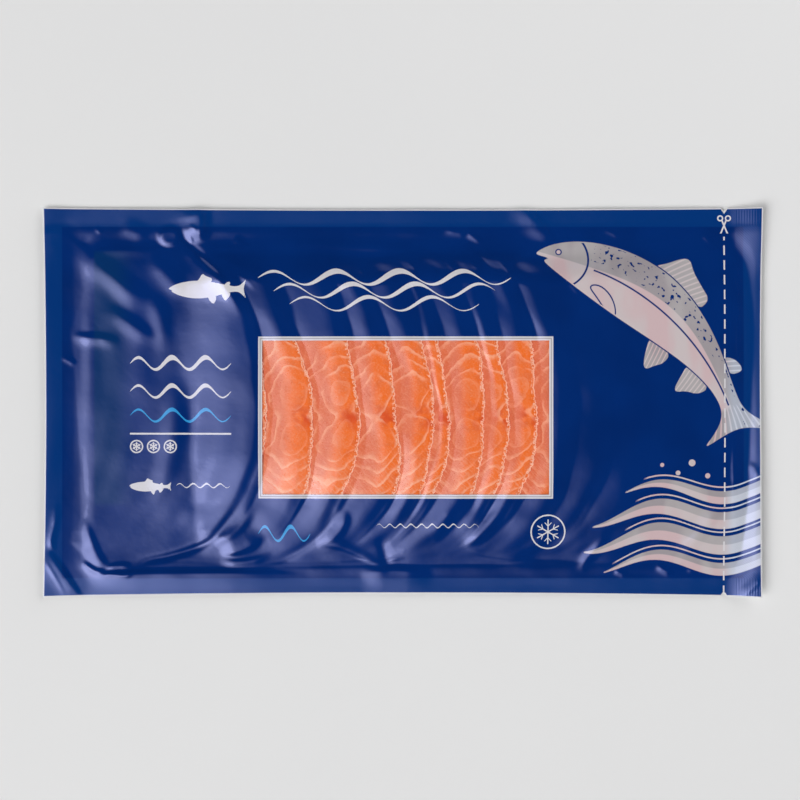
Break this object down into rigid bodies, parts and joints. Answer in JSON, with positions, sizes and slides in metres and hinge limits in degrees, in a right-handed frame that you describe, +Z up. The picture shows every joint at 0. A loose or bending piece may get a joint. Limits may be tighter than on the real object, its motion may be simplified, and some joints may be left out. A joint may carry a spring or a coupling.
{
  "type": "pack of smoked salmon",
  "caption": "Flat sealed printed pouch with a clear window over a fan of smoked salmon slices on a board, with a tear line near one end.",
  "frame": {"origin": "centre of the pouch's outline, on the surface that it lies on", "axes": "+X along the pouch towards the end with the tear line, +Y across it, +Z up out of the printed face"},
  "size_m": [0.36, 0.195, 0.0118],
  "materials": {
    "printed_film": "glossy printed packing film",
    "clear_film": "clear glossy packing film",
    "salmon": "moist oily fish"
  },
  "bodies": {
    "root": {"pouch": "printed_film", "slice_01": "salmon", "slice_02": "salmon", "slice_03": "salmon", "slice_04": "salmon", "slice_05": "salmon", "slice_06": "salmon", "slice_07": "salmon", "slice_08": "salmon", "slice_09": "salmon", "slice_10": "salmon"}
  },
  "joints": []
}
